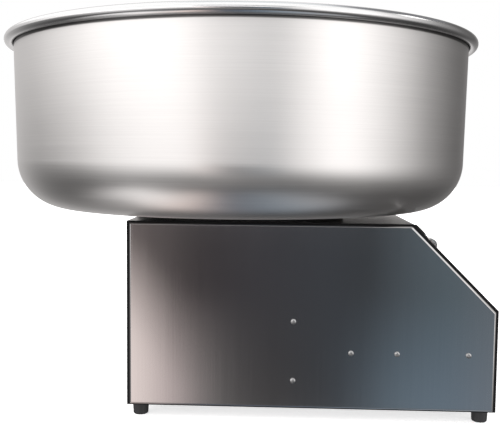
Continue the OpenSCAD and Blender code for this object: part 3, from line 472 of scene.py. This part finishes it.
def skin(node, slot, bevel, material, merge):
    """A copy of a CAD node's shape whose edges are rounded, which stands for the node.

    merge joins the triangles of its flats. It is off for flats with many holes, which it closes."""
    source = frame["nodes"][node]
    mesh = source.data.copy()
    mesh.name = node + "_form"
    bm = bmesh.new()
    bm.from_mesh(mesh)
    bmesh.ops.remove_doubles(bm, verts=bm.verts, dist=WELD)
    if merge:
        limit = math.radians(FLAT_UP_TO)
        bmesh.ops.dissolve_limit(bm, angle_limit=limit, verts=bm.verts, edges=bm.edges)
    bm.to_mesh(mesh)
    bm.free()
    piece = link(node + "_form", mesh, slot, source["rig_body"], material)
    if bevel:
        modifier = piece.modifiers.new("edges", "BEVEL")
        modifier.width = bevel
        modifier.segments = ROUNDED_STEPS
        modifier.limit_method = "ANGLE"
        modifier.angle_limit = math.radians(ROUNDED_FROM)
        modifier.miter_outer = "MITER_ARC"
        piece.modifiers.new("normals", "WEIGHTED_NORMAL").keep_sharp = True
    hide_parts(node)


make_camera()

# The material of each CAD node that keeps its shape
KEEP = {
    "foot_screws": "screw_steel", "top_plate_screws": "screw_steel", "carbon_brushes": "carbon",
    "brush_springs": "spring_bronze", "stator_core": "motor_iron", "motor_bearings": "screw_steel",
    "motor_posts": "inner_steel", "inlet_pins": "brass", "potentiometer": "inner_steel",
    "pot_shaft": "aluminium", "drive_shaft": "inner_steel", "rotor_core": "motor_iron",
    "slip_rings": "brass", "terminal_posts": "brass", "heater_ring": "heater_ceramic",
    "spinner_band": "stainless_head", "head_fasteners": "screw_steel",
    "motor_housing": "motor_paint", "motor_top_bell": "aluminium_cast",
    "motor_bottom_bell": "aluminium_cast", "cooling_fan": "black_plastic",
    "insulating_hub": "cream_plastic", "partition": "inner_steel",
    "drawer_runners": "runner_plastic", "run_capacitor": "aluminium",
    "control_board": "board_green", "board_parts": "black_plastic",
    "heat_sink": "aluminium_cast", "terminal_block": "cream_plastic",
    "brush_block": "phenolic_black",
}
for node, name in KEEP.items():
    materials = frame["nodes"][node].data.materials
    materials.clear()
    materials.append(MATERIALS[name])

# The bowl, from its measures in part.scad: the rim's radius, its roll's, the sheet, the round
# corner's radius, how far the wall draws in downwards, and the radius of the hole
RIM_R, ROLL_R, SHEET = 260 * MM, 5.25 * MM, 1 * MM
CORNER_R, TAPER, HOLE_R = 52 * MM, 2.5 * MM, 97.6 * MM
# The roll starts at the wall, goes up, out and down, and stays open below: degrees
ROLL_START, ROLL_END = 180, -130


def make_bowl():
    """The spun bowl: a flat bottom round the hole, a round corner, the wall and the rim's roll."""
    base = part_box("bowl_bottom")[0].z
    roll_z = ROLL_TOP - ROLL_R
    wall = RIM_R - 2 * ROLL_R + SHEET
    middle = wall - TAPER - CORNER_R, base + CORNER_R
    outer = arc(*middle, CORNER_R, -90, 0, CORNER_STEPS) + [(wall, roll_z)]
    inner = arc(*middle, CORNER_R - SHEET, -90, 0, CORNER_STEPS) + [(wall - SHEET, roll_z)]
    outline = [(HOLE_R, base)] + outer + inner[::-1] + [(HOLE_R, base + SHEET)]
    piece = link("bowl_body", lathe("bowl_body", outline), "stainless_bowl", "bowl")
    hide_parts("bowl_wall", "bowl_bottom")
    turn = (ROLL_START, ROLL_END, ROLL_STEPS)
    outer = arc(RIM_R - ROLL_R, roll_z, ROLL_R, *turn)
    inner = arc(RIM_R - ROLL_R, roll_z, ROLL_R - SHEET, *turn)
    link("bowl_rim", lathe("bowl_rim", outer + inner[::-1]), "stainless_bowl", "bowl", "rim")


make_bowl()

# CAD nodes that get rounded edges: the node, its slot, the rounding's width, and the material
# where it isn't the slot's own
SKINS = [
    ("side_plate_left", "side_plate_black", 0.0005, None),
    ("side_plate_right", "side_plate_black", 0.0005, None),
    ("side_panel_left", "stainless_case", 0.0004, None),
    ("side_panel_right", "stainless_case", 0.0004, None),
    ("top_plate", "stainless_case", 0.0003, "stainless_top"),
    ("control_panel", "stainless_case", 0.0003, "stainless_slope"),
    ("front_frame", "stainless_case", 0.0003, "stainless_drawer"),
    ("back_panel", "stainless_case", 0.0003, "stainless_drawer"),
    ("bottom_plate", "inner_steel", 0.0003, None),
    ("feet", "foot_rubber", 0.0003, None),
    ("side_screws", "screw_steel", 0.0002, None),
    ("seat_ring", "seat_black", 0.0, None),
    ("bowl_seal", "seal_rubber", 0.0004, None),
    ("centring_collar", "stainless_case", 0.0002, "stainless_head"),
    ("power_inlet", "black_plastic", 0.0004, None),
    ("fuse_holder", "black_plastic", 0.0004, None),
    ("switch_bezels", "black_plastic", 0.0004, None),
    ("switch_boots", "boot_clear", 0.0, None),
    ("power_rocker", "rocker_red", 0.0004, None),
    ("heat_rocker", "rocker_black", 0.0004, None),
    ("heat_knob", "black_plastic", 0.0003, None),
    ("head_plate", "aluminium", 0.0003, None),
    ("head_cap", "aluminium", 0.0003, None),
    ("sugar_cup", "aluminium", 0.0002, None),
    ("drawer_tray", "stainless_drawer", 0.0003, None),
    ("drawer_front", "stainless_drawer", 0.0004, None),
    ("drawer_pull", "black_plastic", 0.0005, None),
    ("drawer_rails", "runner_plastic", 0.0004, None),
]
# Their flats have rows of vents
VENTED = ("back_panel", "bottom_plate")
for node, slot, bevel, material in SKINS:
    skin(node, slot, bevel, material, merge=node not in VENTED)

# White marks. The panel's slope: its upper end, how far down it the controls are, and how far apart
SLOPE_TOP, CONTROLS_DOWN, CONTROL_PITCH = Vector((0.177, 0, 0.2005)), 44.5 * MM, 46 * MM
ROCKERS_Y = {"power_rocker": -CONTROL_PITCH, "heat_rocker": 0.0}
KNOB_Y = CONTROL_PITCH
# A rocker: how far it is tipped at rest, half its width, how far its faces rise from the middle
# to the edge, and the middle's height
ROCKER_TIP = math.radians(10)
ROCKER_HALF, ROCKER_RISE, ROCKER_MIDDLE = 7.5 * MM, 1.3 * MM, 3.6 * MM
# How far a sign is from the rocker's middle, and the signs' lengths and widths: the bar for on, and
# the ring for off and its hole
SIGN_OUT = 4.2 * MM
ON_BAR, OFF_RING, OFF_HOLE = (3.4 * MM, 0.6 * MM), (3.4 * MM, 2.6 * MM), (2.4 * MM, 1.6 * MM)
# The knob's pointer: its turn at rest, how far out it is and how high, its length and width, and
# how far its top is above that height
POINTER_TURN, POINTER_OUT, POINTER_UP = math.radians(-45), 5.4 * MM, 13.1 * MM
POINTER, POINTER_HIGH = (6 * MM, 0.9 * MM), 0.2 * MM


def on_panel(y):
    """The place of a control: X down the slope, Y across it and Z out of it."""
    down, out = Vector((1, 0, -1)).normalized(), Vector((1, 0, 1)).normalized()
    axes = Matrix((down, Vector((0, 1, 0)), out)).transposed().to_4x4()
    return Matrix.Translation(SLOPE_TOP + down * CONTROLS_DOWN + Vector((0, y, 0))) @ axes


def make_marks():
    """The usual signs for on and off on the rockers, and the knob's pointer."""
    for node, y in ROCKERS_Y.items():
        tipped = on_panel(y) @ Matrix.Rotation(-ROCKER_TIP, 4, "X")
        body = frame["nodes"][node]["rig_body"]
        for name, side in (("on", 1), ("off", -1)):
            rise = ROCKER_MIDDLE + SIGN_OUT * ROCKER_RISE / ROCKER_HALF
            dip = side * math.atan(ROCKER_RISE / ROCKER_HALF)
            spot = Matrix.Translation((0, side * SIGN_OUT, rise)) @ Matrix.Rotation(dip, 4, "X")
            if name == "on":
                outlines = [bar(*ON_BAR)]
            else:
                outlines = [oval(*OFF_RING), oval(*OFF_HOLE)]
            inlay(node + "_" + name, tipped @ spot, body, *outlines)
    turned = on_panel(KNOB_Y) @ Matrix.Rotation(POINTER_TURN, 4, "Z")
    place = turned @ Matrix.Translation((POINTER_OUT, 0, POINTER_UP))
    body = frame["nodes"]["heat_knob"]["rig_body"]
    inlay("heat_knob_mark", place, body, bar(*POINTER), high=POINTER_HIGH)


make_marks()

# Studio: a pale floor, a soft lamp, and surroundings that are white to the camera. What the metal
# mirrors of them depends on the direction: an azimuth in degrees, 0 towards -Y and 90 towards +X,
# and a height in degrees. First the greys by azimuth, from the highest layer to the lowest
AROUND = ((-180, 1.1), (-150, 0.8), (-136, 0.72), (-113, 0.95), (-94, 1.45), (-80, 1.8),
          (-68, 2.05), (-57, 2.1), (-44, 2.1), (-31, 2.15), (-19, 2.12), (-6, 2.07), (7, 1.78),
          (20, 1.32), (32, 1.52), (43, 1.9), (54, 1.95), (67, 1.5), (83, 1.03), (102, 0.48),
          (124, 0.19), (142, 0.15), (160, 0.38), (169, 0.95), (180, 1.1))
LOWER = ((-180, 0.95), (-150, 0.72), (-136, 0.56), (-113, 0.28), (-94, 0.26), (-80, 0.38),
         (-68, 0.75), (-57, 1.12), (-44, 1.34), (-31, 1.4), (-19, 1.46), (-6, 1.82), (7, 1.66),
         (20, 1.1), (32, 1.25), (43, 1.8), (54, 2.0), (67, 1.55), (83, 0.98), (102, 0.42),
         (124, 0.2), (142, 0.14), (160, 0.32), (169, 0.75), (180, 0.95))
BAND = ((-165, 0.6), (-140, 0.2), (-110, 0.1), (-85, 0.09), (-68, 0.19), (-57, 0.27), (-44, 0.28),
        (-31, 0.24), (-19, 0.24), (-6, 0.27), (7, 0.21), (20, 0.13), (32, 0.12), (45, 0.17),
        (57, 0.23), (70, 0.25), (85, 0.14), (102, 0.07), (150, 0.08))
UNDER = ((-165, 0.2), (-135, 0.3), (-110, 0.5), (-92, 1.1), (-80, 1.42), (-68, 1.38), (-57, 0.8),
         (-44, 0.3), (-31, 0.2), (-19, 0.16), (-6, 0.12), (7, 0.1), (60, 0.1), (85, 0.09),
         (150, 0.08))
# The tone that these greys get
WARM = (1.0, 0.97, 0.96)
# The lowest layer goes by the direction's X instead, with 0 for -1 and 1 for +1
DEEP = ((0.22, (1.25, 1.21, 1.21)), (0.27, (1.6, 1.52, 1.49)), (0.32, (1.12, 1.02, 0.99)),
        (0.37, (1.24, 1.03, 0.95)), (0.41, (0.6, 0.5, 0.48)), (0.45, (0.17, 0.18, 0.21)),
        (0.5, (0.15, 0.18, 0.225)), (0.56, (0.25, 0.305, 0.36)), (0.63, (0.43, 0.47, 0.52)),
        (0.69, (0.48, 0.48, 0.5)), (0.77, (0.62, 0.61, 0.61)))
# What the flat side mirrors low in front of it: a pale thing near it on the left, and a dark room
NEAR = ((-12, (1.44, 1.26, 1.2)), (-8.5, (0.79, 0.67, 0.655)), (-6.5, (0.37, 0.33, 0.325)),
        (-4.6, (0.165, 0.158, 0.158)), (-2.7, (0.1, 0.096, 0.098)), (0, (0.075, 0.073, 0.076)),
        (4, (0.068, 0.075, 0.086)), (7, (0.115, 0.145, 0.175)), (9, (0.18, 0.24, 0.295)),
        (13, (0.205, 0.275, 0.345)), (17, (0.245, 0.285, 0.335)))
FAR = ((-12, (0.17, 0.14, 0.137)), (-8.5, (0.11, 0.095, 0.095)), (-6, (0.066, 0.058, 0.062)),
       (-2.7, (0.068, 0.065, 0.073)), (4, (0.07, 0.077, 0.089)), (7, (0.062, 0.069, 0.078)),
       (9, (0.1, 0.12, 0.138)), (13, (0.14, 0.185, 0.215)), (17, (0.2, 0.23, 0.26)))
# NEAR gives way to FAR above a height, which is the same to the right of NEAR_SIDE and rises by
# NEAR_LEAN per degree to the left of it. NEAR_DROP sets it, and NEAR_SOFT says how fast one gives
# way to the other
NEAR_SIDE, NEAR_LEAN, NEAR_DROP, NEAR_SOFT = -8.0, 1.2, 23.6, 0.13
# Rectangles: azimuths and heights where each begins, is full, is still full and ends
FLAT_SIDE = (-22, -14, 19, 27), (-23, -20, -2.4, -0.6)
WINDOWS = (
    # A bright wall and ceiling on the left and in front, with a dark opening
    ((-150, -135, 58, 76), (16, 26, 70, 76), (1.58, 1.56, 1.54)),
    ((-22, -14, 24, 32), (10, 13, 22, 27), (0.6, 0.6, 0.61)),
    # A dark ceiling on the right, and a bright strip at its lower edge
    ((76, 90, 140, 156), (26, 33, 58, 70), (0.3, 0.3, 0.31)),
    ((84, 89, 99, 104), (20, 23, 36, 39), (2.7, 2.65, 2.6)),
)
# The highest layer, straight overhead
OVERHEAD = (1.15, 1.16, 1.18)
WHITE = (1, 1, 1)
# Half the floor's side, and the light that it gives itself
FLOOR_HALF, FLOOR_GLOW = 6, 0.62
LAMP_PLACE, LAMP_AIM = Vector((-0.5, -0.9, 1.7)), Vector((0, 0, 0.2))
LAMP_SIZE, LAMP_WATTS = (3.4, 2.6), 24


def make_floor():
    corners = [(x * FLOOR_HALF, y * FLOOR_HALF, 0) for x, y in ((-1, -1), (1, -1), (1, 1), (-1, 1))]
    mesh = mesh_of("floor", corners, [(0, 1, 2, 3)])
    floor = bpy.data.objects.new("floor", mesh)
    bpy.context.collection.objects.link(floor)
    tree = Tree("floor")
    grain = tree.noise(tree.place, scale=3.0)
    tree.set(Base_Color=tree.mix(grain, (0.92, 0.92, 0.92), (0.95, 0.95, 0.95)), Roughness=0.9,
             Emission_Color=(*WHITE, 1), Emission_Strength=FLOOR_GLOW)
    mesh.materials.append(tree.material)
    floor.visible_glossy = False


def make_world():
    world = bpy.data.worlds.new("studio")
    bpy.context.scene.world = world
    world.use_nodes = True
    graph = Graph(world.node_tree)
    graph.nodes.clear()
    x, y, z = graph.split(graph.make("TexCoord").outputs["Generated"])
    side = graph.math("DEGREES", graph.math("ARCTAN2", x, graph.math("MULTIPLY", y, -1.0)))
    level = graph.math("DEGREES", graph.math("ARCSINE", z))
    azimuth = graph.math("ADD", graph.math("DIVIDE", side, 360), 0.5)

    def by_azimuth(stops):
        return graph.ramp(azimuth, [(degrees / 360 + 0.5, color) for degrees, color in stops])

    def warm(stops):
        greys = [(degrees, tuple(grey * tone for tone in WARM)) for degrees, grey in stops]
        return by_azimuth(greys)

    def window(sides, levels):
        """1 within a rectangle of the surroundings and 0 outside it."""
        edges = [graph.slope(value, start, full) for value, start, full in (
            (side, sides[0], sides[1]), (side, sides[3], sides[2]),
            (level, levels[0], levels[1]), (level, levels[3], levels[2]))]
        return graph.math("MULTIPLY", graph.math("MULTIPLY", edges[0], edges[1]),
                          graph.math("MULTIPLY", edges[2], edges[3]))

    lean = graph.math("MULTIPLY", graph.math("MINIMUM", side, NEAR_SIDE), NEAR_LEAN)
    above = graph.math("ADD", level, graph.math("ADD", lean, NEAR_DROP))
    nearness = graph.math("ADD", 0.5, graph.math("MULTIPLY", above, -NEAR_SOFT))
    nearness = graph.math("MINIMUM", graph.math("MAXIMUM", nearness, 0.0), 1.0)
    flat_side = graph.mix(nearness, by_azimuth(FAR), by_azimuth(NEAR))

    deep = graph.ramp(graph.math("ADD", graph.math("MULTIPLY", x, 0.5), 0.5), DEEP)
    # Each layer begins at one height and is all that is left at the other
    studio = graph.mix(graph.slope(level, 9, -5), warm(AROUND), warm(LOWER))
    for start, full, layer in ((38, 62, OVERHEAD), (-4, -34, warm(BAND)), (-38, -50, warm(UNDER)),
                               (-54, -66, deep)):
        studio = graph.mix(graph.slope(level, start, full), studio, layer)
    studio = graph.mix(window(*FLAT_SIDE), studio, flat_side)
    for sides, levels, color in WINDOWS:
        studio = graph.mix(window(sides, levels), studio, color)
    seen = graph.make("LightPath").outputs["Is Camera Ray"]
    back = graph.make("Background", graph.mix(seen, studio, WHITE))
    graph.make("OutputWorld", back.outputs[0])


def make_lamp():
    data = bpy.data.lights.new("softbox", "AREA")
    data.shape = "RECTANGLE"
    data.size, data.size_y = LAMP_SIZE
    data.energy = LAMP_WATTS
    lamp = bpy.data.objects.new("softbox", data)
    bpy.context.collection.objects.link(lamp)
    turn = (LAMP_AIM - LAMP_PLACE).to_track_quat("-Z", "Y").to_matrix().to_4x4()
    lamp.matrix_world = Matrix.Translation(LAMP_PLACE) @ turn
    lamp.visible_glossy = False


make_floor()
make_world()
make_lamp()
bpy.context.scene.view_settings.view_transform = "Standard"
